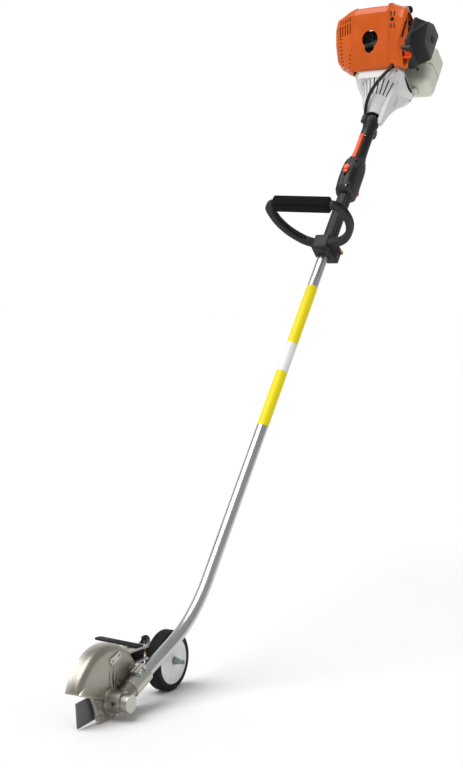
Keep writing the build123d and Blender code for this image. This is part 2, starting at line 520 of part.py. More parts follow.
rim_profile = Polyline((GUARD_R, GUARD_RIM_X), (GUARD_R, GUARD_PLATE_X - GUARD_SHOULDER),
                       (GUARD_R - GUARD_SHOULDER, GUARD_PLATE_X), (40, GUARD_PLATE_X), (40, plate_low),
                       (GUARD_R - GUARD_SHOULDER - 2, plate_low),
                       (GUARD_INNER_R, GUARD_PLATE_X - GUARD_SHOULDER - 2), (GUARD_INNER_R, GUARD_RIM_X),
                       close=True)
rim = revolve(Plane.XZ * make_face(rim_profile), Axis.Z, math.degrees(front - rear))
rim = Rot(0, 0, math.degrees(rear)) * rim
web_outline = Polyline((-98, 31), (-63, 19), (-54, 4), (-47, -17), (-47, -26), (-24, -34), (8, -36), (30, -22),
                       (60, 12), (60, 60), (-60, 60), close=True)
web = Pos(0, 0, plate_low) * extrude(make_face(web_outline), GUARD_PLATE_T)
guard = rim + web + cyl(27, plate_low, GUARD_PLATE_X)
guard -= cyl(19, plate_low - 1, GUARD_PLATE_X + 1)
for angle in (68, 81, 94, 160):
    rib = Rot(0, 0, angle) * block(28, 62, -1.5, 1.5, GUARD_PLATE_X - 0.5, GUARD_PLATE_X + 4)
    guard += rib - Rot(0, 0, angle) * Pos(62, 0, GUARD_PLATE_X + 4) * Rot(0, 8, 0) * Box(74, 10, 7)
for i in range(3):
    guard += block(-46 + i * 6, -43.4 + i * 6, -26, -15, GUARD_PLATE_X - 0.5, GUARD_PLATE_X + 3)
PAD_HOLES = ((4, 73.3), (22.9, 80.5))
pad_mid = ((PAD_HOLES[0][0] + PAD_HOLES[1][0]) / 2, (PAD_HOLES[0][1] + PAD_HOLES[1][1]) / 2)
pad_angle = math.degrees(math.atan2(PAD_HOLES[1][1] - PAD_HOLES[0][1], PAD_HOLES[1][0] - PAD_HOLES[0][0]))
boss = Pos(pad_mid[0], pad_mid[1], GUARD_PLATE_X - 1) * Rot(0, 0, pad_angle)
guard += boss * extrude(RectangleRounded(34, 14, 6), 3.5)
for y, z in PAD_HOLES:
    guard -= cyl(2.75, plate_low - 5, GUARD_PLATE_X + 6, y, z)
GUARD_SCREWS = ((-35, 3), (20, 26), (66, 46))
for y, z in GUARD_SCREWS:
    guard += cyl(6.5, plate_low, GUARD_PLATE_X + 1.5, y, z)
    guard -= cyl(2.6, plate_low - 1, GUARD_PLATE_X + 3, y, z)
flanges = block(66, 135, 72, 76, GUARD_RIM_X, -24) + block(86, 135, 48, 52, GUARD_RIM_X, -24)
flanges -= cyl(GUARD_INNER_R + 1, GUARD_RIM_X - 1, 0)
lug = block(112, 135, 48, 76, PLATE_X - 8.2, GUARD_RIM_X + 3)
tongue = block(112, 188, 42, 66, PLATE_X - 8.2, PLATE_X - 3.4)
guard += flanges + lug + tongue
bolt_y = BOLT_Y - axis_point.Y
bolt_z = BOLT_Z - axis_point.Z
guard -= cyl(3.1, PLATE_X - 20, PLATE_X, bolt_y, bolt_z)
parts["blade_guard"] = head(guard)
guard_screws = []
for y, z in GUARD_SCREWS:
    guard_screws.append(head(screw(y, z, plate_low - 0.5, GUARD_PLATE_X + 1.6, 2.5, 4.4, 3.4)))
parts["frame_screws"] = group(*(bell_screws + neck_screws + guard_screws))
flap_plane = Plane(origin=(116, 76.6, -24), x_dir=(1, 0, 0), z_dir=(0, 1, 0))
flap = flap_plane * Pos(-4, 52, 0) * extrude(RectangleRounded(26, 108, 11), 2.0)
parts["debris_flap"] = group(head(flap), head(block(104, 134, 52.4, 71.6, -44, -34)))

# ---- Depth wheel -----------------------------------------------------------------------------------------------------
foot = Plane(origin=(PLATE_X, 0, 0), x_dir=(0, 1, 0), z_dir=(1, 0, 0))
slot_top = BOLT_Z + 14.5
slot_bottom = BOLT_Z - 26.5
plate = make_face(Polyline((BOLT_Y - 20, BOLT_Z + 10), (BOLT_Y - 20, BOLT_Z - 34), (BOLT_Y - 4, BOLT_Z - 44),
                           (WHEEL_Y - 4, WHEEL_Z - 15), (WHEEL_Y + 13, WHEEL_Z - 6), (WHEEL_Y + 11, WHEEL_Z + 12),
                           (BOLT_Y + 20, BOLT_Z - 6), (BOLT_Y + 20, BOLT_Z + 10), close=True))
plate = extrude(foot * plate, PLATE_T)
plate += bar(20, (PLATE_X, BOLT_Y, BOLT_Z + 10), (PLATE_X + PLATE_T, BOLT_Y, BOLT_Z + 10))
plate -= block(PLATE_X - 1, PLATE_X + 4, BOLT_Y - SLOT_R, BOLT_Y + SLOT_R, slot_bottom, slot_top)
for z in (slot_bottom, slot_top):
    plate -= bar(SLOT_R, (PLATE_X - 1, BOLT_Y, z), (PLATE_X + 4, BOLT_Y, z))
plate -= bar(AXLE_R + 0.05, (PLATE_X - 1, WHEEL_Y, WHEEL_Z), (PLATE_X + 4, WHEEL_Y, WHEEL_Z))
parts["wheel_bracket"] = plate
head_x = PLATE_X + PLATE_T + 0.4
bolt = bar(3.0, (PLATE_X - 20, BOLT_Y, BOLT_Z), (head_x, BOLT_Y, BOLT_Z))
bolt += Plane(origin=(head_x, BOLT_Y, BOLT_Z), z_dir=(1, 0, 0)) * extrude(RegularPolygon(5.8, 6), 4.0)
nut_x = PLATE_X - 8.4
wing = bar(7.0, (nut_x - 7, BOLT_Y, BOLT_Z), (nut_x, BOLT_Y, BOLT_Z))
wing += block(nut_x - 13, nut_x - 3, BOLT_Y - 15, BOLT_Y + 15, BOLT_Z - 1.5, BOLT_Z + 1.5)
wing -= bar(3.05, (nut_x - 30, BOLT_Y, BOLT_Z), (nut_x + 5, BOLT_Y, BOLT_Z))
parts["bracket_bolt"] = group(bolt, wing)
axle = cyl(AXLE_R, PLATE_X - 4, 5) + Pos(0, 0, PLATE_X - 4.4) * extrude(RegularPolygon(7, 6), 4.2)
axle_parts = [
    axle,
    tube(9, AXLE_R + 0.05, -19.0, -17.4),
    Pos(0, 0, -17.2) * extrude(RegularPolygon(7, 6), 5.5) - cyl(AXLE_R + 0.05, -30, 0),
    Pos(0, 0, -11.4) * extrude(RegularPolygon(6, 6), 4.5) - cyl(AXLE_R + 0.05, -30, 0),
    tube(6.5, AXLE_R + 0.05, PLATE_X + PLATE_T + 0.1, WHEEL_BACK_X - 0.2),
]
parts["wheel_axle"] = group(*[wheel(piece) for piece in axle_parts])
disc = tube(DISC_R - 0.1, 6, WHEEL_BACK_X + 1.5, WHEEL_BACK_X + 4) + tube(DISC_R - 0.1, 6, -23, -20.5)
disc += tube(10, AXLE_R + 0.3, WHEEL_BACK_X + 0.6, -19.5)
disc += tube(DISC_R - 0.1, DISC_R - 4, WHEEL_BACK_X + 1.5, -20.5)
parts["wheel_disc"] = wheel(disc)
tread = tube(TYRE_R, DISC_R, WHEEL_BACK_X, WHEEL_FRONT_X)
tread = fillet(tread.edges().filter_by(lambda e: abs(e.radius - TYRE_R) < 0.1 if e.geom_type == GeomType.CIRCLE
                                       else False), 3)
parts["tyre"] = wheel(tread)

# ---- Write one file per node ---------------------------------------------------------------------------------------
os.makedirs("parts", exist_ok=True)
for name, shape in parts.items():
    export_step(shape, f"parts/{name}.step")
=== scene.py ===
import json
import math

import bmesh
import bpy
from mathutils import Matrix, Vector


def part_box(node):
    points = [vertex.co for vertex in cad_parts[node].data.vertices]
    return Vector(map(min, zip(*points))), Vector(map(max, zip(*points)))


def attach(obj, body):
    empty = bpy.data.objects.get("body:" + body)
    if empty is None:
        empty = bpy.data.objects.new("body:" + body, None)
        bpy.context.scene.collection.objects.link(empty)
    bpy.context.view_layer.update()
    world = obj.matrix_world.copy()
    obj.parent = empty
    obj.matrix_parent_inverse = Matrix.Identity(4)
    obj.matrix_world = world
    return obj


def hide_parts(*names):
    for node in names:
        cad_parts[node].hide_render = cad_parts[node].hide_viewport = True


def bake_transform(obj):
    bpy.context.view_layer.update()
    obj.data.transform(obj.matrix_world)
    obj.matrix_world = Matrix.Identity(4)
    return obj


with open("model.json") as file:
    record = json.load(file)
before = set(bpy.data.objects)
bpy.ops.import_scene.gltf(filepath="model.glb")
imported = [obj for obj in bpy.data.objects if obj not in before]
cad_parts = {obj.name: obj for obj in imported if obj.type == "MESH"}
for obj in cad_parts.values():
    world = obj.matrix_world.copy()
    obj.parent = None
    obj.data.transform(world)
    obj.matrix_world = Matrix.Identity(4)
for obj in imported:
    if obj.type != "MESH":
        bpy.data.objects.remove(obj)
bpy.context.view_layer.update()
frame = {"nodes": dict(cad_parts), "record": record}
nodes = frame["nodes"]

# ---- Sizes and places, in metres -----------------------------------------------------------------
INCLINE = math.radians(52.0)
UP = Vector((0, math.cos(INCLINE), math.sin(INCLINE)))
OUT = Vector((0, -math.sin(INCLINE), math.cos(INCLINE)))
cap_low, cap_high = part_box("gearbox_cap")
AXIS = (cap_low + cap_high) / 2
wheel_low, wheel_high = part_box("tyre")
WHEEL = (wheel_low + wheel_high) / 2
GROUND_Z = wheel_low.z
FLOOR_HALF = 150.0


def up(x, h, t):
    """Point in metres from millimetres: X, height over the tube, place along the tube."""
    return Vector((x / 1000, 0, 0)) + OUT * (h / 1000) + UP * (t / 1000)


# ---- Materials -----------------------------------------------------------------------------------
def noise(tree, coords, scale, detail=4.0, stretch=(1, 1, 1)):
    """Noise in the object's own coordinates, in cycles a metre."""
    mapping = tree.nodes.new("ShaderNodeMapping")
    mapping.inputs["Scale"].default_value = stretch
    tree.links.new(coords, mapping.inputs["Vector"])
    node = tree.nodes.new("ShaderNodeTexNoise")
    node.inputs["Scale"].default_value = scale
    node.inputs["Detail"].default_value = detail
    tree.links.new(mapping.outputs[0], node.inputs["Vector"])
    return node.outputs["Fac"]


def ramp(tree, value, low, high, out_low, out_high):
    """Value mapped from one range to another, clamped."""
    node = tree.nodes.new("ShaderNodeMapRange")
    node.inputs["From Min"].default_value = low
    node.inputs["From Max"].default_value = high
    node.inputs["To Min"].default_value = out_low
    node.inputs["To Max"].default_value = out_high
    tree.links.new(value, node.inputs["Value"])
    return node.outputs["Result"]


def mix(tree, factor, first, second):
    """Colour mix by a factor socket; first and second are colours or sockets."""
    node = tree.nodes.new("ShaderNodeMix")
    node.data_type = "RGBA"
    tree.links.new(factor, node.inputs["Factor"])
    for key, value in ((6, first), (7, second)):
        if isinstance(value, (tuple, list)):
            node.inputs[key].default_value = (*value[:3], 1)
        else:
            tree.links.new(value, node.inputs[key])
    return node.outputs[2]


def shade(colour, factor):
    """Colour made darker or lighter by a factor."""
    return tuple(min(1.0, c * factor) for c in colour)


def material(name, colour, rough, metal=0.0, grain=900.0, bump=0.05, patch=18.0, vary=0.12,
             rough_vary=0.08, stretch=(1, 1, 1), coat=0.0, wear=None, spec=0.5, transmission=0.0,
             subsurface=0.0):
    """Moulded, cast or painted surface with patchy colour, fine grain, uneven gloss and worn edges."""
    made = bpy.data.materials.new(name)
    made.use_nodes = True
    tree = made.node_tree
    shader = tree.nodes["Principled BSDF"]
    coords = tree.nodes.new("ShaderNodeTexCoord").outputs["Object"]
    broad = noise(tree, coords, patch, 3.0, stretch)
    fine = noise(tree, coords, grain, 5.0, stretch)
    patches = ramp(tree, broad, 0.3, 0.7, 0.0, 1.0)
    base = mix(tree, patches, shade(colour, 1 - vary), shade(colour, 1 + vary))
    base = mix(tree, ramp(tree, fine, 0.45, 0.8, 0.0, vary * 2), base, shade(colour, 0.55))
    if wear:
        edge = tree.nodes.new("ShaderNodeNewGeometry").outputs["Pointiness"]
        base = mix(tree, ramp(tree, edge, 0.51, 0.56, 0.0, 0.7), base, wear)
    tree.links.new(base, shader.inputs["Base Color"])
    gloss = ramp(tree, broad, 0.3, 0.7, rough - rough_vary, rough + rough_vary)
    tree.links.new(gloss, shader.inputs["Roughness"])
    bumped = tree.nodes.new("ShaderNodeBump")
    bumped.inputs["Strength"].default_value = bump
    bumped.inputs["Distance"].default_value = 0.0006
    tree.links.new(fine, bumped.inputs["Height"])
    tree.links.new(bumped.outputs[0], shader.inputs["Normal"])
    shader.inputs["Metallic"].default_value = metal
    shader.inputs["Coat Weight"].default_value = coat
    shader.inputs["Coat Roughness"].default_value = 0.12
    shader.inputs["Specular IOR Level"].default_value = spec
    shader.inputs["Transmission Weight"].default_value = transmission
    shader.inputs["Subsurface Weight"].default_value = subsurface
    shader.inputs["Subsurface Radius"].default_value = (0.006, 0.006, 0.005)
    return made


mats = {
    "tube_aluminium": material("tube_aluminium", (0.56, 0.56, 0.57), 0.27, 1.0, grain=300, bump=0.04,
                               stretch=(5, 0.4, 0.4), vary=0.08, rough_vary=0.06),
    "cast_aluminium": material("cast_aluminium", (0.37, 0.35, 0.30), 0.40, 1.0, grain=1500, bump=0.3,
                               vary=0.16, wear=(0.62, 0.6, 0.55)),
    "white_housing": material("white_housing", (0.66, 0.66, 0.65), 0.42, grain=1200, bump=0.12, vary=0.03,
                              spec=0.3),
    "orange_cover": material("orange_cover", (0.64, 0.105, 0.006), 0.36, grain=1600, bump=0.06, vary=0.06,
                             coat=0.1, spec=0.3),
    "orange_control": material("orange_control", (0.80, 0.07, 0.004), 0.35, grain=1500, bump=0.06, vary=0.05,
                               spec=0.3),
    "black_plastic": material("black_plastic", (0.011, 0.011, 0.0115), 0.45, grain=1400, bump=0.3, vary=0.2,
                              spec=0.2, wear=(0.05, 0.05, 0.05)),
    "rubber": material("rubber", (0.010, 0.0095, 0.009), 0.62, grain=900, bump=0.2, vary=0.2, spec=0.15),
    "foam": material("foam", (0.0075, 0.0075, 0.0075), 0.85, grain=2200, bump=0.7, vary=0.3, spec=0.1),
    "tank_plastic": material("tank_plastic", (0.68, 0.67, 0.58), 0.35, grain=700, bump=0.05, vary=0.04,
                             subsurface=0.35, spec=0.3),
    "yellow_label": material("yellow_label", (0.86, 0.70, 0.0), 0.38, grain=900, bump=0.02, vary=0.02,
                             spec=0.3),
    "blade_steel": material("blade_steel", (0.02, 0.02, 0.021), 0.45, 0.2, grain=700, bump=0.15, vary=0.3,
                            spec=0.25, wear=(0.2, 0.2, 0.2)),
    "steel": material("steel", (0.42, 0.42, 0.42), 0.3, 1.0, grain=900, bump=0.1, vary=0.08),
    "zinc": material("zinc", (0.36, 0.41, 0.43), 0.3, 1.0, grain=700, bump=0.08, patch=60, vary=0.16),
    "yellow_zinc": material("yellow_zinc", (0.62, 0.38, 0.12), 0.3, 1.0, grain=600, bump=0.08, patch=90,
                            vary=0.25),
    "dark_steel": material("dark_steel", (0.03, 0.029, 0.027), 0.5, 0.5, grain=800, bump=0.2, vary=0.3,
                           wear=(0.2, 0.2, 0.2)),
    "white_disc": material("white_disc", (0.82, 0.82, 0.80), 0.3, grain=1000, bump=0.04, vary=0.03, coat=0.2),
    "tyre_rubber": material("tyre_rubber", (0.0105, 0.0105, 0.0105), 0.62, grain=1200, bump=0.3, vary=0.2,
                            spec=0.2),
    "red_bulb": material("red_bulb", (0.30, 0.045, 0.02), 0.12, grain=300, bump=0.02, vary=0.1,
                         transmission=0.3),
    "hose_black": material("hose_black", (0.012, 0.011, 0.011), 0.4, grain=900, bump=0.1, vary=0.15,
                           spec=0.3),
    "engine_aluminium": material("engine_aluminium", (0.4, 0.4, 0.4), 0.45, 1.0, grain=1300, bump=0.3,
                                 vary=0.1),
    "foam_filter": material("foam_filter", (0.5, 0.46, 0.33), 0.9, grain=1800, bump=0.8, vary=0.15),
    "liner_plastic": material("liner_plastic", (0.6, 0.6, 0.57), 0.5, grain=900, bump=0.05, vary=0.03),
    "rope_fibre": material("rope_fibre", (0.5, 0.5, 0.46), 0.85, grain=2500, bump=0.6, vary=0.2),
    "ceramic": material("ceramic", (0.75, 0.75, 0.72), 0.2, grain=700, bump=0.02, vary=0.02),
    "fuel_hose": material("fuel_hose", (0.06, 0.045, 0.035), 0.4, grain=900, bump=0.08, vary=0.15),
}
grey_facet = material("grey_facet", (0.055, 0.055, 0.056), 0.5, grain=1400, bump=0.3, vary=0.15, spec=0.3)
label_white = material("label_white", (0.78, 0.78, 0.76), 0.38, grain=900, bump=0.02, vary=0.02)
seam_brown = material("seam_brown", (0.22, 0.15, 0.07), 0.5, grain=900, bump=0.1, vary=0.2)

slot_of = {part["node"]: part["material_slot"] for part in frame["record"]["subparts"]}
for name, obj in nodes.items():
    obj.data.materials.clear()
    obj.data.materials.append(mats[slot_of[name]])

# ---- Camera, floor and light ---------------------------------------------------------------------
camera_data = bpy.data.cameras.new("camera")
camera_data.sensor_fit = "VERTICAL"
camera_data.sensor_height = 36.0
camera_data.lens = 65.6
camera_data.clip_end = 400.0
camera = bpy.data.objects.new("camera", camera_data)
camera.location = (1.4621, -2.9262, -0.0874)
camera.rotation_euler = (math.radians(90 - 3.103), 0, math.radians(30.089))
bpy.context.scene.collection.objects.link(camera)
bpy.context.scene.camera = camera


def add_mesh(name, bm):
    """Object from a bmesh, linked to the scene."""
    data = bpy.data.meshes.new(name)
    bm.to_mesh(data)
    bm.free()
    obj = bpy.data.objects.new(name, data)
    bpy.context.scene.collection.objects.link(obj)
    return obj


floor_mesh = bmesh.new()
bmesh.ops.create_grid(floor_mesh, x_segments=1, y_segments=1, size=FLOOR_HALF)
floor = add_mesh("floor", floor_mesh)
floor.location = (0, 0, GROUND_Z)
floor_finish = material("floor", (0.86, 0.86, 0.86), 0.9, grain=40, bump=0.0, vary=0.005, spec=0.1)
floor.data.materials.append(floor_finish)

VIEW_WAY = Vector((-0.501, 0.864, -0.054))
world = bpy.data.worlds.new("studio")
world.use_nodes = True
sky = world.node_tree
way = sky.nodes.new("ShaderNodeTexCoord").outputs["Generated"]
dot = sky.nodes.new("ShaderNodeVectorMath")
dot.operation = "DOT_PRODUCT"
dot.inputs[1].default_value = VIEW_WAY
sky.links.new(way, dot.inputs[0])
sky.nodes["Background"].inputs["Color"].default_value = (1.0, 1.0, 1.0, 1)
brightness = ramp(sky, dot.outputs["Value"], 0.55, 0.85, 0.42, 1.0)
sky.links.new(brightness, sky.nodes["Background"].inputs["Strength"])
bpy.context.scene.world = world
bpy.context.scene.view_settings.view_transform = "Standard"

sun_data = bpy.data.lights.new("sun", "SUN")
sun_data.energy = 2.5
sun_data.angle = math.radians(50)
sun = bpy.data.objects.new("sun", sun_data)
sun.rotation_euler = Vector((0.28, 0.42, -1.0)).to_track_quat("-Z", "Y").to_euler()
bpy.context.scene.collection.objects.link(sun)

# ---- Mesh helpers --------------------------------------------------------------------------------
# UPPER places local millimetres given as X, height over the tube and place along the tube.
UPPER = Matrix(((0.001, 0, 0, 0),
                (0, OUT.y * 0.001, UP.y * 0.001, 0),
                (0, OUT.z * 0.001, UP.z * 0.001, 0),
                (0, 0, 0, 1)))


def side_view(centre):
    """Place for local millimetres given as Y and Z from a centre, then X of the object."""
    return Matrix(((0, 0, 0.001, 0),
                   (0.001, 0, 0, centre.y),
                   (0, 0.001, 0, centre.z),
                   (0, 0, 0, 1)))


HEAD = side_view(AXIS)
WHEEL_PLACE = side_view(WHEEL)


def outline(corners, radius, steps=6):
    """Closed outline with every corner rounded; one radius for all, or one each."""
    count = len(corners)
    radii = radius if isinstance(radius, (tuple, list)) else [radius] * count
    points = []
    for i, corner in enumerate(corners):
        here = Vector(corner)
        back = (Vector(corners[i - 1]) - here)
        ahead = (Vector(corners[(i + 1) % count]) - here)
        room = min(radii[i], back.length * 0.49, ahead.length * 0.49)
        half = back.angle(ahead) / 2
        reach = min(room / math.tan(half), back.length * 0.49, ahead.length * 0.49)
        start = here + back.normalized() * reach
        end = here + ahead.normalized() * reach
        for step in range(steps + 1):
            k = step / steps
            points.append(start * (1 - k) ** 2 + here * 2 * k * (1 - k) + end * k ** 2)
    return points


def between(first, second, k):
    """Outline part of the way from one to another with the same count."""
    return [a * (1 - k) + b * k for a, b in zip(first, second)]


def scaled(points, factor):
    """Outline scaled about its middle."""
    centre = sum(points, Vector((0, 0))) / len(points)
    return [centre + (p - centre) * factor for p in points]


def grown(points, distance):
    """Outline moved outwards by a distance, seen as a closed loop."""
    area = sum(a.x * b.y - b.x * a.y for a, b in zip(points, points[1:] + points[:1]))
    turn = -1.0 if area > 0 else 1.0
    moved = []
    for i, point in enumerate(points):
        run = points[(i + 1) % len(points)] - points[i - 1]
        moved.append(point + Vector((-run.y, run.x)).normalized() * distance * turn)
    return moved


def face_outwards(bm):
    """Turns every face of a closed mesh outwards."""
    bmesh.ops.recalc_face_normals(bm, faces=bm.faces)
    if bm.calc_volume(signed=True) < 0:
        bmesh.ops.reverse_faces(bm, faces=bm.faces)


def loft(name, rings, place, cap_start=False, cap_end=False, closed=True):
    """Mesh skinned through rings of local points, all with the same count."""
    bm = bmesh.new()
    made = [[bm.verts.new(point) for point in ring] for ring in rings]
    for low, high in zip(made, made[1:]):
        count = len(low)
        for i in range(count if closed else count - 1):
            j = (i + 1) % count
            bm.faces.new((low[i], low[j], high[j], high[i]))
    if cap_start:
        bm.faces.new(made[0])
    if cap_end:
        bm.faces.new(list(reversed(made[-1])))
    bm.transform(place)
    face_outwards(bm)
    return add_mesh(name, bm)


def turned(name, profile, place, segments=96, start=0.0, end=360.0, loop=True):
    """Mesh turned about local z from radius and height pairs."""
    full = abs(end - start - 360.0) < 1e-6
    rings = []
    for i in range(segments + (0 if full else 1)):
        angle = math.radians(start + (end - start) * i / segments)
        rings.append([Vector((r * math.cos(angle), r * math.sin(angle), z)) for r, z in profile])
    if full:
        rings.append(rings[0])
    obj = loft(name, rings, place, not full and loop, not full and loop, closed=loop)
    bm = bmesh.new()
    bm.from_mesh(obj.data)
    bmesh.ops.remove_doubles(bm, verts=bm.verts, dist=1e-7)
    face_outwards(bm)
    bm.to_mesh(obj.data)
    bm.free()
    return obj


def bake(obj):
    """Applies the object's modifiers to its mesh."""
    graph = bpy.context.evaluated_depsgraph_get()
    graph.update()
    made = bpy.data.meshes.new_from_object(obj.evaluated_get(graph))
    obj.modifiers.clear()
    obj.data = made
    return obj


def inset(ring, wall, shift):
    """Ring moved inwards in the side view by a wall's thickness, and along X by a shift."""
    flat = grown([Vector((p.z, p.y)) for p in ring], -wall)
    return [Vector((p.x + shift, q.y, q.x)) for p, q in zip(ring, flat)]


def hollow(name, rings, wall, shifts, floor=None):
    """Shell from outer rings: the solid through them less the solid through the same rings inset."""
    outer = loft(name, rings, UPPER, True, True)
    inner_rings = []
    for i, ring in enumerate(rings):
        shift = shifts[0] if i == 0 else shifts[1] if i == len(rings) - 1 else 0.0
        inner = inset(ring, wall, shift)
        if floor is not None:
            inner = [Vector((p.x, p.y if p.y > floor + 4 else floor - 8, p.z)) for p in inner]
        inner_rings.append(inner)
    return cut(outer, [loft(name + "_inside", inner_rings, UPPER, True, True)])


def combine(obj, others, operation):
    """Boolean of the object with the others one by one, which are then removed."""
    for other in others:
        boolean = obj.modifiers.new("boolean", "BOOLEAN")
        boolean.operation = operation
        boolean.object = other
        boolean.solver = "EXACT"
        bake(obj)
        bpy.data.objects.remove(other)
    return obj


def cut(obj, cutters):
    return combine(obj, cutters, "DIFFERENCE")


def weld(obj, pieces):
    return combine(obj, pieces, "UNION")


def soften(obj, millimetres, segments=3, angle=32):
    """Bevels the object's edges."""
    bevel = obj.modifiers.new("bevel", "BEVEL")
    bevel.width = millimetres / 1000
    bevel.segments = segments
    bevel.limit_method = "ANGLE"
    bevel.angle_limit = math.radians(angle)
    return bake(obj)


def join(name, objs):
    """One object from several, keeping each face's material."""
    bm = bmesh.new()
    mats_used = []
    for obj in objs:
        start = len(bm.faces)
        bm.from_mesh(obj.data)
        bm.faces.ensure_lookup_table()
        slots = list(obj.data.materials)
        for face in bm.faces[start:]:
            used = slots[face.material_index] if slots else None
            if used not in mats_used:
                mats_used.append(used)
            face.material_index = mats_used.index(used)
    made = add_mesh(name, bm)
    for used in mats_used:
        made.data.materials.append(used)
    for obj in objs:
        bpy.data.objects.remove(obj)
    return made


def paint(obj, name):
    """Gives the object one material from the list."""
    obj.data.materials.clear()
    obj.data.materials.append(mats[name])
    return obj


def give(obj, body, slot_name, replaced=(), sharp=30):
    """Smooth shading, body, record slot and the CAD nodes that the piece stands for."""
    for face in obj.data.polygons:
        face.use_smooth = True
    obj.data.set_sharp_from_angle(angle=math.radians(sharp))
    finishes = [finish for finish in obj.data.materials if finish]
    if len(finishes) < 2:
        finish = finishes[0] if finishes else mats[slot_name]
        obj.data.materials.clear()
        obj.data.materials.append(finish)
        for face in obj.data.polygons:
            face.material_index = 0
    if replaced:
        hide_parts(*replaced)
    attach(obj, body)
    return obj


def slab(name, centre, size, place, turn=None):
    """Box cutter or block from its centre and size in local millimetres."""
    bm = bmesh.new()
    bmesh.ops.create_cube(bm, size=1.0)
    spin = turn if turn is not None else Matrix.Identity(4)
    bm.transform(place @ Matrix.Translation(centre) @ spin @ Matrix.Diagonal((*size, 1)))
    face_outwards(bm)
    return add_mesh(name, bm)


def rod(name, start, end, radius, place, segments=32, end_radius=None):
    """Cylinder or cone between two local points."""
    run = Vector(end) - Vector(start)
    bm = bmesh.new()
    bmesh.ops.create_cone(bm, cap_ends=True, segments=segments, radius1=radius,
                          radius2=radius if end_radius is None else end_radius, depth=run.length)
    spin = run.to_track_quat("Z", "Y").to_matrix().to_4x4()
    bm.transform(place @ Matrix.Translation((Vector(start) + Vector(end)) / 2) @ spin)
    face_outwards(bm)
    return add_mesh(name, bm)


# ---- Engine cover --------------------------------------------------------------------------------
SLOPE = math.atan2(82, 102)
SLOPE_TURN = Matrix.Rotation(-SLOPE, 4, "X")


def on_slope(x, run, lift=0.0):
    """Local point on the covers' sloping face, at a distance down from its top edge."""
    return Vector((x, 151 - run * math.sin(SLOPE) + lift * math.cos(SLOPE),
                   708 - run * math.cos(SLOPE) - lift * math.sin(SLOPE)))


def along_x(points, x):
    """Ring of local points across X from side outline points (t, h)."""
    return [Vector((x, p.y, p.x)) for p in points]


COVER_SIDE = [(600, 57.6), (601.5, 66), (656, 112), (707, 150), (725, 153), (743, 139), (757, 100),
              (757, 57.6)]
COVER_ROUND = [0.4, 14, 60, 16, 12, 30, 30, 0.4]


def cover_ring(x, crown):
    points = outline(COVER_SIDE, COVER_ROUND, 7)
    return along_x([p - Vector((0, crown * max(0.0, (p.y - 60) / 100))) for p in points], x)


def seam(points, base_x, pull):
    """Moves a ring's X in towards the top, so that the seam leans."""
    return [Vector((base_x + pull * max(0.0, (p.y - 105) / 57) ** 2, p.y, p.z)) for p in points]


stations = [(-52, 1.0), (-34, 0.4), (-10, 0.0), (14, 0.0), (30.2, 0.3)]
cover_rings = [seam(cover_ring(-65.6, 1.8), -65.6, 9.0), seam(cover_ring(-60, 1.4), -60, 6.0)]
cover_rings += [cover_ring(x, crown) for x, crown in stations]
cover = hollow("engine_cover_shell", cover_rings, 2.4, (-6.0, 6.0), 57.6)
cut(cover, [rod("plug_way", on_slope(-16, 65, -30), on_slope(-16, 65, 30), 21.5, UPPER, 72),
            rod("plug_way_low", on_slope(-18, 86, -30), on_slope(-18, 86, 30), 13.0, UPPER, 56)])
give(cover, "frame", "orange_cover", ["engine_cover"])

# ---- Muffler cover -------------------------------------------------------------------------------
near = outline([(598, 40), (600, 64), (656, 111), (707, 149), (727, 152), (744, 139), (757, 104), (757, 40)],
               [7, 14, 60, 16, 12, 30, 20, 7], 7)
far = outline([(636, 30), (630, 62), (655, 98), (688, 124), (716, 131), (734, 118), (741, 94), (738, 30)],
              [8, 22, 30, 22, 14, 16, 20, 8], 7)
muffler_rings = []
near_x = -66.0
for k in (0.0, 0.12, 0.3, 0.5, 0.7, 0.86):
    ring = along_x(between(near, far, k ** 1.25), near_x - k * 44)
    muffler_rings.append(seam(ring, near_x - k * 44, 9.0 * (1 - k)))
for angle in (25, 50, 70, 84):
    a = math.radians(angle)
    edge = scaled(between(near, far, 0.84 + 0.1 * math.sin(a)), 1 - 0.16 * (1 - math.cos(a)))
    muffler_rings.append(along_x(edge, near_x - 38 - 12.5 * math.sin(a)))
muffler_cover = hollow("muffler_cover_shell", muffler_rings, 2.2, (8.0, 2.2))
cutters = []
for i in range(5):
    x = -71.5 - i * 7.6
    for run, length in ((10, 13), (34, 27)):
        drop = 4 + i * 3.0
        cutters.append(slab("slot", on_slope(x, run + i * 1.5, -drop), (2.9, 34, length), UPPER, SLOPE_TURN))
for i in range(10):
    place = on_slope(-100 + max(0, i - 5) * 1.2, 58 + i * 9.0, -16)
    cutters.append(slab("tick", place, (7, 40, 2.6), UPPER, SLOPE_TURN))
for i in range(5):
    place = on_slope(-72 - i * 0.6, 100 + i * 10.0, -6)
    cutters.append(slab("tick", place, (5, 14, 2.2), UPPER, SLOPE_TURN))
cut(muffler_cover, [join("louvres", cutters)])
give(muffler_cover, "frame", "orange_cover", ["muffler_cover"])

# ---- Intake cowl ---------------------------------------------------------------------------------
COWL_NEAR = [(600, 60), (602, 67), (656, 112), (707, 151), (725, 154), (743, 140), (757, 100), (757, 60)]
COWL_FAR = [(598, 60), (600, 66), (648, 98), (692, 126), (720, 129), (740, 118), (757, 92), (757, 60)]
COWL_ROUND = [4, 10, 60, 16, 12, 30, 30, 4]


def flared(ring, share):
    """Moves a ring's X outwards at its top and at its lower front corner."""
    moved = []
    for p in ring:
        top = max(0.0, (p.y - 104) / 24)
        low = max(0.0, (82 - p.y) / 24) if p.z < 630 else 0.0
        flare = 15 * min(1.0, top) ** 1.5 + 22 * min(1.0, low) ** 1.6
        moved.append(Vector((p.x + share * flare, p.y, p.z)))
    return moved


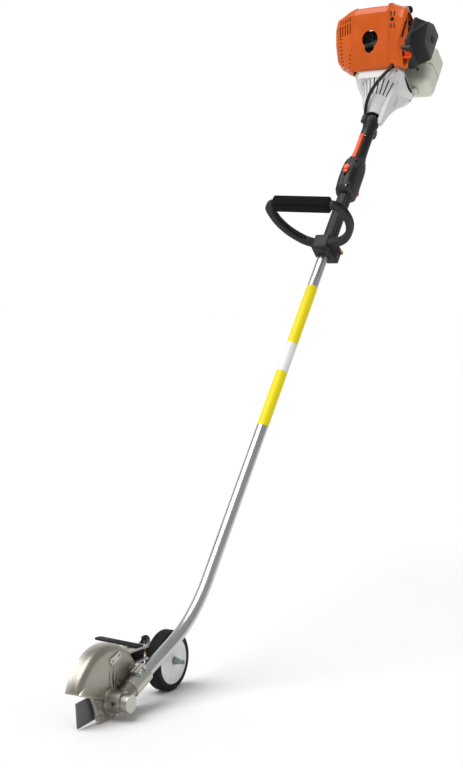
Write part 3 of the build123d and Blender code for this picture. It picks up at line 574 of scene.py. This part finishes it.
cowl_rings = []
cowl_near = outline(COWL_NEAR, COWL_ROUND, 7)
cowl_far = outline(COWL_FAR, COWL_ROUND, 7)
COWL_WALL = ((30.9, 0.2, 0.0), (31.2, 4.2, 0.0), (32.2, 5.0, 0.0), (34.4, 5.0, 0.02), (36, 3.2, 0.06),
             (38, 2.6, 0.1), (46, 2.4, 0.4), (52, 2.6, 0.66), (54, 3.6, 0.76), (55.4, 5.0, 0.83),
             (57.4, 5.4, 0.9), (59.4, 4.6, 0.96), (61.4, 2.0, 1.0))
for x, lift, share in COWL_WALL:
    ring = grown(between(cowl_near, cowl_far, ((x - 30.9) / 30.5) ** 1.4), lift)
    cowl_rings.append(flared(along_x(ring, x), share))
cowl_inside = []
for x, share in ((27, 0.0), (31, 0.0), (38, 0.1), (46, 0.4), (52, 0.66), (57.4, 0.9), (61.4, 1.0), (66, 1.1)):
    ring = grown(between(cowl_near, cowl_far, max(0.0, (x - 30.9) / 30.5) ** 1.4), -0.4)
    cowl_inside.append(flared(along_x(ring, x), share))
cowl = loft("intake_cowl_shell", cowl_rings, UPPER, True, True)
cut(cowl, [loft("cowl_inside", cowl_inside, UPPER, True, True)])
cutters = [rod("round", on_slope(44, 22, -8), on_slope(44, 22, 12), 5.4, UPPER, 40),
           rod("hose_way", (44.5, 66, 570), (44.5, 66, 625), 6.2, UPPER, 32)]
for x in (41, 49):
    for run in (8, 38):
        cutters.append(slab("slot", on_slope(x, run, -2), (3.4, 18, 12), UPPER, SLOPE_TURN))
cut(cowl, cutters)
give(cowl, "frame", "orange_cover", ["intake_cowl"])

# ---- Air filter cover ----------------------------------------------------------------------------
filter_near = outline([(645, 15), (645, 88), (664, 105), (738, 101), (750, 15)], [8, 9, 12, 14, 8], 6)
filter_far = outline([(655, 23), (661, 81), (716, 99), (740, 66), (742, 25)], [6, 7, 8, 9, 6], 6)
filter_rings = [along_x(filter_near, 80.2), along_x(filter_near, 84.5)]
for k in (0.2, 0.45, 0.7, 0.92):
    filter_rings.append(along_x(between(filter_near, filter_far, k), 82 + k * 38))
filter_rings.append(along_x(scaled(filter_far, 0.985), 119.6))
filter_rings.append(along_x(scaled(filter_far, 0.93), 120.6))
filter_shell = hollow("filter_cover_shell", filter_rings, 2.2, (-3.0, -2.4))
cut(filter_shell, [rod("lock_way", (108, 50, 702), (124, 50, 702), 9.0, UPPER, 48)])
paint(filter_shell, "black_plastic")
filter_shell.data.materials.append(grey_facet)
for face in filter_shell.data.polygons:
    if face.center.x > 0.1194:
        face.material_index = 1
give(filter_shell, "frame", "black_plastic", ["filter_cover"])

# ---- Fuel tank seam ------------------------------------------------------------------------------
tank_side = outline([(-78, 38), (88, 38), (88, 106), (-78, 106)], 17, 8)
seam_rings = []
for t, lift in ((716.4, -0.6), (716.8, 0.3), (718.2, 0.3), (718.6, -0.6)):
    seam_rings.append([Vector((p.x, -p.y, t)) for p in grown(tank_side, lift)])
tank_seam = loft("tank_seam", seam_rings, UPPER)
tank_seam.data.materials.append(seam_brown)
give(tank_seam, "frame", "tank_plastic")

# ---- White wing under the fan housing ------------------------------------------------------------
WING = [(468.5, 15, 30, -7, 3), (480, 17, 32, -9, 8), (505, 22, 37, -12, 15), (530, 25, 42, -20, 21),
        (556, 28, 49, -32, 27), (580, 30, 55, -43, 31), (597, 31, 56, -50, 32), (606, 32, 56, -55, 4),
        (622, 33, 56, -65, -36), (640, 34, 56, -76, -50), (651.5, 35, 55, -84, -58)]
wing_rings = []
for t, x_low, x_high, h_low, h_high in WING:
    ring = outline([(x_low, h_low), (x_high, h_low), (x_high, h_high), (x_low, h_high)], 5.5, 5)
    wing_rings.append([Vector((p.x, p.y, t)) for p in ring])
wing = loft("tank_wing", wing_rings, UPPER, True, True)
# The wing stops inside the fan housing's wall, clear of the clutch and flywheel that turn in there.
BELL_INSIDE = [(0, 505), (25.5, 507), (34.6, 526), (47.6, 562), (59.6, 582), (74.6, 600), (74.6, 602),
               (0, 602)]
cut(wing, [turned("bell_inside", BELL_INSIDE, UPPER, 96)])
cut(wing, [slab("slot", (50, h, 545), (30, 2.4, 26), UPPER, Matrix.Rotation(-0.3, 4, "X")) for h in (1, -7)])
give(wing, "frame", "white_housing", ["tank_strut"], sharp=50)

# ---- Loop handle ---------------------------------------------------------------------------------
LOOP_T = 61.0
LOOP_RIGHT = [(6, 24), (30, 26), (54, 33), (76, 51), (92, 78), (98, 108), (93, 138), (84, 150)]
LOOP_BAR = [(66, 156), (30, 159.2), (0, 161.8), (-40, 165.6), (-62, 167.6)]
LOOP_LEFT = [(-78, 163), (-84, 150), (-81, 112), (-67, 74), (-42, 42), (-20, 28), (-6, 24)]


def smooth_path(points, per_span=6):
    """Points of a curve through all the given ones."""
    made = []
    ends = [points[0]] + points + [points[-1]]
    for a, b, c, d in zip(ends, ends[1:], ends[2:], ends[3:]):
        a, b, c, d = Vector(a), Vector(b), Vector(c), Vector(d)
        for step in range(per_span):
            k = step / per_span
            made.append(0.5 * (2 * b + (c - a) * k + (2 * a - 5 * b + 4 * c - d) * k ** 2
                               + (3 * b - a - 3 * c + d) * k ** 3))
    made.append(Vector(points[-1]))
    return made


loop_line = smooth_path(LOOP_RIGHT + LOOP_BAR + LOOP_LEFT)
section = outline([(-10, -8.5), (10, -8.5), (10, 8.5), (-10, 8.5)], 5.5, 4)
loop_rings = []
for i, point in enumerate(loop_line):
    run = (loop_line[min(i + 1, len(loop_line) - 1)] - loop_line[max(i - 1, 0)]).normalized()
    side = Vector((-run.y, run.x))
    loop_rings.append([Vector((point.x + side.x * q.y, point.y + side.y * q.y, LOOP_T + q.x))
                       for q in section])
loop_mesh = loft("loop_bar", loop_rings, UPPER, True, True)
ribs = []
for shift in (-4.4, 0.0, 4.4):
    groove = [(-1.0, 6.9), (1.0, 6.9), (1.0, 12), (-1.0, 12)]
    for first, last in ((8, 46), (78, 104)):
        for flip in (1, -1):
            rings = []
            for i in range(first, min(last, len(loop_line) - 1)):
                run = (loop_line[i + 1] - loop_line[i - 1]).normalized()
                side = Vector((-run.y, run.x)) * flip
                rings.append([Vector((loop_line[i].x + side.x * v, loop_line[i].y + side.y * v,
                                      LOOP_T + shift + u)) for u, v in groove])
            ribs.append(loft("groove", rings, UPPER, True, True))
cut(loop_mesh, ribs)
collar_outer = outline([(-17, -27), (28, -27), (28, -8), (20, 16), (19, 36), (-19, 36), (-21, 0), (-17, -12)],
                       [3, 3, 4, 8, 6, 6, 12, 4], 6)
collar = loft("loop_collar", [[Vector((p.x, p.y, t)) for p in ring] for t, ring in
                              ((42.2, scaled(collar_outer, 0.96)), (43.4, collar_outer), (78.6, collar_outer),
                               (79.8, scaled(collar_outer, 0.96)))], UPPER, True, True)
cut(collar, [rod("bore", (0, 0, 30), (0, 0, 90), 12.95, UPPER, 64),
             slab("split", (0, -22, 61), (2.4, 30, 60), UPPER),
             rod("bolt_way", (-30, -21, 70), (-13, -21, 70), 5.3, UPPER, 6),
             rod("bolt_way", (-30, -21, 70), (40, -21, 70), 2.7, UPPER, 24)])
soften(collar, 0.6, 2)
loop = join("loop_handle_body", [loop_mesh, collar])
give(loop, "loop_handle", "black_plastic", ["loop_frame"])

pad_low = Vector((-66, 167.9, LOOP_T))
pad_high = Vector((72, 155.3, LOOP_T))
pad_way = (pad_high - pad_low).normalized()
pad_side = Vector((-pad_way.y, pad_way.x, 0))
pad_section = outline([(-15, -15), (15, -15), (15, 15), (-15, 15)], 7.5, 6)
pad_rings = []
for k, size in ((0.0, 0.66), (0.0, 0.9), (0.012, 0.975), (0.03, 1.0), (0.5, 1.0), (0.97, 1.0), (0.988, 0.975),
                (1.0, 0.9), (1.0, 0.66)):
    middle = pad_low.lerp(pad_high, k)
    pad_rings.append([middle + pad_side * (q.y * size) + Vector((0, 0, q.x * size)) for q in pad_section])
pad = loft("loop_pad_foam", pad_rings, UPPER)
give(pad, "loop_handle", "foam", ["loop_pad"], sharp=50)

# ---- Throttle grip -------------------------------------------------------------------------------
# Place along the tube, half width, height over the tube's line and depth under it.
GRIP_SPINE = [(228.3, 17.0, 17.0, 17.0), (229.5, 20.0, 22.0, 23.0), (236, 21.6, 29.0, 27.5),
              (262, 22.0, 33.6, 29.5), (300, 22.0, 33.6, 28.5), (322, 21.6, 30.5, 28.5),
              (338, 20.2, 24.5, 29.5), (352, 17.6, 19.5, 22.0), (372, 16.2, 17.4, 18.8),
              (410, 16.0, 17.0, 18.6), (450, 16.4, 17.2, 19.0), (462, 18.4, 18.6, 20.0),
              (468, 20.2, 20.2, 20.4), (476, 20.4, 20.4, 20.4), (479.4, 19.6, 19.6, 19.6)]


def grip_ring(t):
    """Grip outline across the tube as X and height, for a place along it."""
    for low, high in zip(GRIP_SPINE, GRIP_SPINE[1:]):
        if t <= high[0]:
            k = (t - low[0]) / (high[0] - low[0])
            break
    wide, top, bottom = (a * (1 - k) + b * k for a, b in zip(low[1:], high[1:]))
    square = 2.0 + 1.4 * max(0.0, min(1.0, (350 - t) / 30))
    ring = []
    for i in range(48):
        angle = 2 * math.pi * i / 48
        c, s = math.cos(angle), math.sin(angle)
        x = wide * abs(c) ** (2 / square) * (1 if c >= 0 else -1)
        h = (top if s >= 0 else bottom) * abs(s) ** (2 / square) * (1 if s >= 0 else -1)
        ring.append(Vector((x, h, t)))
    return ring


grip_at = [228.3, 229.5, 232, 236, 244, 254, 266, 280, 294, 308, 318, 326, 334, 342, 350, 358, 368, 384,
           404, 424, 440, 450, 457, 462, 465, 468, 476, 478.6, 479.4]
grip = loft("grip_body", [grip_ring(t) for t in grip_at], UPPER, True, True)
bulge_section = outline([(-10, -11), (10, -11), (10, 11), (-10, 11)], 6, 5)
bulge_rings = []
for t, w in ((440, 0.3), (443, 0.75), (448, 0.97), (464, 1.0), (469, 0.9), (472, 0.5)):
    bulge_rings.append([Vector((p.x * w, -20 + p.y * w, t)) for p in bulge_section])
bulge = loft("grip_bulge", bulge_rings, UPPER, True, True)
hose_boss = rod("hose_boss", (-11, 19, 460), (-11, 19, 480), 7.0, UPPER, 32)
hump_rings = []
for t, d in ((326.6, 1.0), (329, 0.0), (338, 2.0), (344, 8.0), (347, 14)):
    hump_section = outline([(-9, -38 + d), (9, -38 + d), (9, -20), (-9, -20)], 3, 4)
    hump_rings.append([Vector((p.x, p.y, t)) for p in hump_section])
hump = loft("trigger_hump", hump_rings, UPPER, True, True)
weld(grip, (bulge, hose_boss, hump))
cutters = [rod("bore", (0, 0, 220), (0, 0, 490), 12.9, UPPER, 48),
           slab("trigger_way", (0, -36, 294.2), (12.8, 46, 64.4), UPPER),
           slab("lever_way", (0, 27, 375), (9.6, 27.6, 88), UPPER),
           slab("switch_way", (0, 33, 283), (6, 12, 34), UPPER),
           slab("split_a", (0, 30, 290), (0.9, 10, 130), UPPER),
           rod("hose_bore", (-11, 19, 470), (-11, 19, 490), 4.4, UPPER, 32)]
for h, t in ((-22.0, 240.0), (26.0, 240.0), (26.0, 318.0), (-23.0, 456.0)):
    cutters.append(rod("screw_way", (9, h, t), (40, h, t), 4.0, UPPER, 32))
cut(grip, cutters)
soften(grip, 0.5, 2, 40)
give(grip, "frame", "black_plastic", ["grip_shell_left", "grip_shell_right"], sharp=38)

# ---- Guard ---------------------------------------------------------------------------------------
GUARD_LOW, GUARD_HIGH = 8.0, 162.0
rim_line = [(101.0, -50.0), (104.0, -50.0), (104.1, -40)]
for step in range(9):
    a = math.radians(step * 90 / 8)
    rim_line.append((89.5 + 14.6 * math.cos(a), -32.6 + 14.6 * math.sin(a)))
rim_line += [(60, -18.0), (28, -18.0), (28, -21.5), (60, -21.5), (88, -21.5)]
for step in range(9):
    a = math.radians(90 - step * 90 / 8)
    rim_line.append((88.5 + 12.6 * math.cos(a), -34.0 + 12.5 * math.sin(a)))
guard_rim = turned("guard_rim", rim_line, HEAD, 96, GUARD_LOW, GUARD_HIGH)
web_line = outline([(-98, 31), (-66, 20), (-57, 6), (-49, -14), (-48, -26), (-26, -34), (8, -36), (30, -22),
                    (60, 12), (60, 62), (-60, 62)], [2, 10, 14, 14, 8, 10, 14, 10, 10, 4, 4], 5)
web_rings = [[Vector((p.x, p.y, x)) for p in web_line] for x in (-21.4, -18.05)]
web = loft("guard_web", web_rings, HEAD, True, True)
pieces = [guard_rim, web]
pieces.append(rod("guard_hub", (0, 0, -21.5), (0, 0, -14.5), 27.5, HEAD, 64, 26.5))
for angle, end in ((68, 60), (81, 63), (94, 58)):
    a = math.radians(angle)
    way = Vector((math.cos(a), math.sin(a), 0))
    side = Vector((-way.y, way.x, 0)) * 1.7
    low, high = way * 26 + Vector((0, 0, -19)), way * end + Vector((0, 0, -19))
    bm = bmesh.new()
    foot = [bm.verts.new(v) for v in (low - side, low + side, high + side * 0.6, high - side * 0.6)]
    tall, thin = Vector((0, 0, 6.0)), Vector((0, 0, 1.2))
    crest = [bm.verts.new(v) for v in (low - side * 0.6 + tall, low + side * 0.6 + tall,
                                       high + side * 0.3 + thin, high - side * 0.3 + thin)]
    bm.faces.new(foot)
    bm.faces.new(list(reversed(crest)))
    for i in range(4):
        bm.faces.new((foot[i], foot[(i + 1) % 4], crest[(i + 1) % 4], crest[i]))
    bm.transform(HEAD)
    face_outwards(bm)
    pieces.append(add_mesh("rib", bm))
for y, z, w, d in ((-45, 9, 18, 3.2), (-30, 14, 14, 3.0)):
    turn = Matrix.Rotation(math.radians(-22), 4, "Z")
    pieces.append(slab("rib", (y, z, -17.2), (w, d, 4.4), HEAD, turn))
for i in range(4):
    turn = Matrix.Rotation(0.12, 4, "Z")
    pieces.append(slab("foot_rib", (-44 + i * 5.2, -24, -17.0), (2.6, 12, 4.4), HEAD, turn))
pad_turn = math.atan2(80.5 - 73.3, 22.9 - 4)
pad_line = outline([(-17, -7), (17, -7), (17, 7), (-17, 7)], 6.9, 6)
rings = []
for x, size in ((-19, 1.1), (-17.6, 1.02), (-16.2, 1.0), (-15.5, 0.95)):
    ring = []
    for p in pad_line:
        q = Vector((p.x * size, p.y * size))
        q.rotate(Matrix.Rotation(pad_turn, 2))
        ring.append(Vector((13.45 + q.x, 76.9 + q.y, x)))
    rings.append(ring)
pieces.append(loft("pad", rings, HEAD, True, True))
for y, z in ((-35, 3), (20, 26), (66, 46)):
    pieces.append(rod("boss", (y, z, -21.5), (y, z, -16.5), 7.4, HEAD, 40, 6.4))
pieces.append(slab("flange_a", (100.5, 74, -37), (69, 4, 26), HEAD))
pieces.append(slab("flange_b", (110.5, 50, -37), (49, 4, 26), HEAD))
pieces.append(slab("lug", (123.5, 62, -58.1), (23, 28, 22.2), HEAD))
pieces.append(slab("tongue", (150, 54, -66.8), (76, 24, 4.8), HEAD))
guard = weld(pieces[0], pieces[1:])
cutters = [rod("hub_way", (0, 0, -30), (0, 0, -10), 19.0, HEAD, 64)]
for y, z in ((4, 73.3), (22.9, 80.5)):
    cutters.append(rod("hole", (y, z, -30), (y, z, -10), 2.75, HEAD, 32))
cutters.append(rod("bolt_way", (174.3, 53, -90), (174.3, 53, -50), 3.2, HEAD, 24))
cut(guard, cutters)
guard.name = "guard_casting"
give(guard, "frame", "cast_aluminium", ["blade_guard"], sharp=35)

# ---- Label ---------------------------------------------------------------------------------------
LABEL_BANDS = [("yellow_low", -438, -293.5, "yellow_label"), ("white_mid", -293.3, -215.2, "white"),
               ("yellow_high", -215, -52, "yellow_label")]
for name, low, high, finish in LABEL_BANDS:
    band = turned(name, [(12.72, low), (12.95, low), (12.95, high), (12.72, high)], UPPER, 64)
    band.data.materials.append(label_white if finish == "white" else mats[finish])
    give(band, "frame", "yellow_label", ["tube_label"])
for low, high in ((-292, -286), (-222, -217), (-258, -256)):
    stripe_profile = [(12.9, low), (13.0, low), (13.0, high), (12.9, high)]
    stripe = turned("label_stripe", stripe_profile, UPPER, 64, 225, 330)
    stripe.data.materials.append(mats["yellow_label"])
    give(stripe, "frame", "yellow_label")

# ---- Debris flap ---------------------------------------------------------------------------------
flap_line = outline([(99.5, -131), (124.5, -131), (125, -27), (99, -27)], [11, 11, 5, 5], 6)
flap_rings = []
for low in (76.2, 78.2):
    flap_rings.append([Vector((p.x, low + 5.0 * max(0.0, (-30 - p.y) / 100) ** 1.6, p.y)) for p in flap_line])
flap = loft("flap_plate", flap_rings, HEAD, True, True)
soften(flap, 0.5, 2)
skirt_line = outline([(103, -46), (134, -46), (134, -33), (103, -33)], 2, 3)
skirt = loft("flap_skirt", [[Vector((p.x, z, p.y)) for p in skirt_line] for z in (52.2, 58, 65, 71.8)], HEAD,
             True, True)
debris = join("flap_and_skirt", [flap, skirt])
give(debris, "frame", "rubber", ["debris_flap"])

# ---- Tyre and disc -------------------------------------------------------------------------------
tyre_profile = [(47.4, -51.6), (50, -52), (54, -51.6), (57.5, -50.4), (59.3, -48.2)]
for i in range(7):
    low = -46.8 + i * 3.3
    tyre_profile += [(60.0, low), (60.0, low + 2.1), (59.1, low + 2.4), (59.1, low + 3.0)]
tyre_profile += [(59.3, -23.4), (57.5, -21.4), (54, -20.3), (50, -20), (47.4, -20.4), (47.0, -36)]
tyre = turned("tyre_body", [(r, z) for r, z in tyre_profile], WHEEL_PLACE, 128)
give(tyre, "wheel", "tyre_rubber", ["tyre"], sharp=40)
disc_profile = [(47.0, -22.2), (46.2, -20.6), (44.4, -20.4), (42.4, -21.6), (40, -22.6), (30, -23.6),
                (18, -23.2), (12, -21.6), (10.4, -19.8), (6.4, -19.6), (6.4, -51), (10, -51), (12, -48),
                (40, -48.4), (46.8, -49.6), (47.0, -36)]
disc = turned("wheel_disc_body", disc_profile, WHEEL_PLACE, 96)
give(disc, "wheel", "white_disc", ["wheel_disc"], sharp=35)

# ---- Throttle hose -------------------------------------------------------------------------------
HOSE_ROUTE = [(-11, 19, 480.6), (-12.5, 27, 493), (-6, 45, 522), (10, 58, 548), (30, 66, 574),
              (43, 67.5, 592), (46, 65, 608)]
hose_curve = bpy.data.curves.new("hose", "CURVE")
hose_curve.dimensions = "3D"
hose_curve.bevel_depth = 0.0042
hose_curve.bevel_resolution = 6
hose_curve.resolution_u = 16
hose_spline = hose_curve.splines.new("NURBS")
hose_spline.points.add(len(HOSE_ROUTE) - 1)
for point, place in zip(hose_spline.points, HOSE_ROUTE):
    point.co = (*up(*place), 1.0)
hose_spline.order_u = 3
hose_spline.use_endpoint_u = True
hose_curve.materials.append(mats["hose_black"])
hose = bpy.data.objects.new("throttle_hose_line", hose_curve)
bpy.context.scene.collection.objects.link(hose)
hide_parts("throttle_hose")
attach(hose, "frame")

# ---- Starter rope --------------------------------------------------------------------------------
ROPE_X, ROPE_T, ROPE_RADIUS = 34, 774, 1.8
rope_section = []
for a in range(16):
    turn = a * math.pi / 8
    rope_section.append((ROPE_X + ROPE_RADIUS * math.cos(turn), ROPE_T + ROPE_RADIUS * math.sin(turn)))
rope_rings = []
for i in range(61):
    h = 40.0 + 44.0 * i / 60
    rope_rings.append([Vector((x, h, t)) for x, t in rope_section])
rope = loft("starter_rope_line", rope_rings, UPPER, True, True)
for face in rope.data.polygons:
    face.use_smooth = True
rope.data.materials.append(mats["rope_fibre"])
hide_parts("starter_rope")
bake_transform(rope)

# ---- Spark plug cap behind the cut-out -----------------------------------------------------------
cap = rod("plug_cap", on_slope(-16, 66, -26), on_slope(-16, 66, -12), 25, UPPER, 48, 23)
cap_low = rod("plug_cap_low", on_slope(-18, 88, -22), on_slope(-18, 88, -12), 15.5, UPPER, 40, 14.5)
rib = slab("plug_cap_rib", on_slope(-12, 66, -10), (3.0, 6, 40), UPPER, SLOPE_TURN)
plug_cap = join("plug_cap_rubber", [cap, cap_low, rib])
give(plug_cap, "frame", "rubber")

# ---- Softer edges on the other parts -------------------------------------------------------------
EDGE_ANGLE = 38
EDGE_WIDTHS = {
    "gearbox_housing": 0.8, "gearbox_cap": 0.8, "fan_housing": 0.8, "wheel_bracket": 0.4, "blade": 0.35,
    "choke_knob": 0.8, "filter_base": 1.2, "fuel_cap": 0.6, "starter_housing": 0.8,
    "throttle_trigger": 0.8, "lockout_lever": 0.7, "stop_switch": 0.7, "starter_grip": 0.6,
    "spacer_sleeve": 0.3, "bracket_bolt": 0.3, "wheel_axle": 0.25, "frame_screws": 0.2,
    "handle_screw": 0.3, "cover_screw": 0.4,
}
for name, width in EDGE_WIDTHS.items():
    edge = nodes[name].modifiers.new("bevel", "BEVEL")
    edge.width = width / 1000
    edge.segments = 3
    edge.limit_method = "ANGLE"
    edge.angle_limit = math.radians(EDGE_ANGLE)
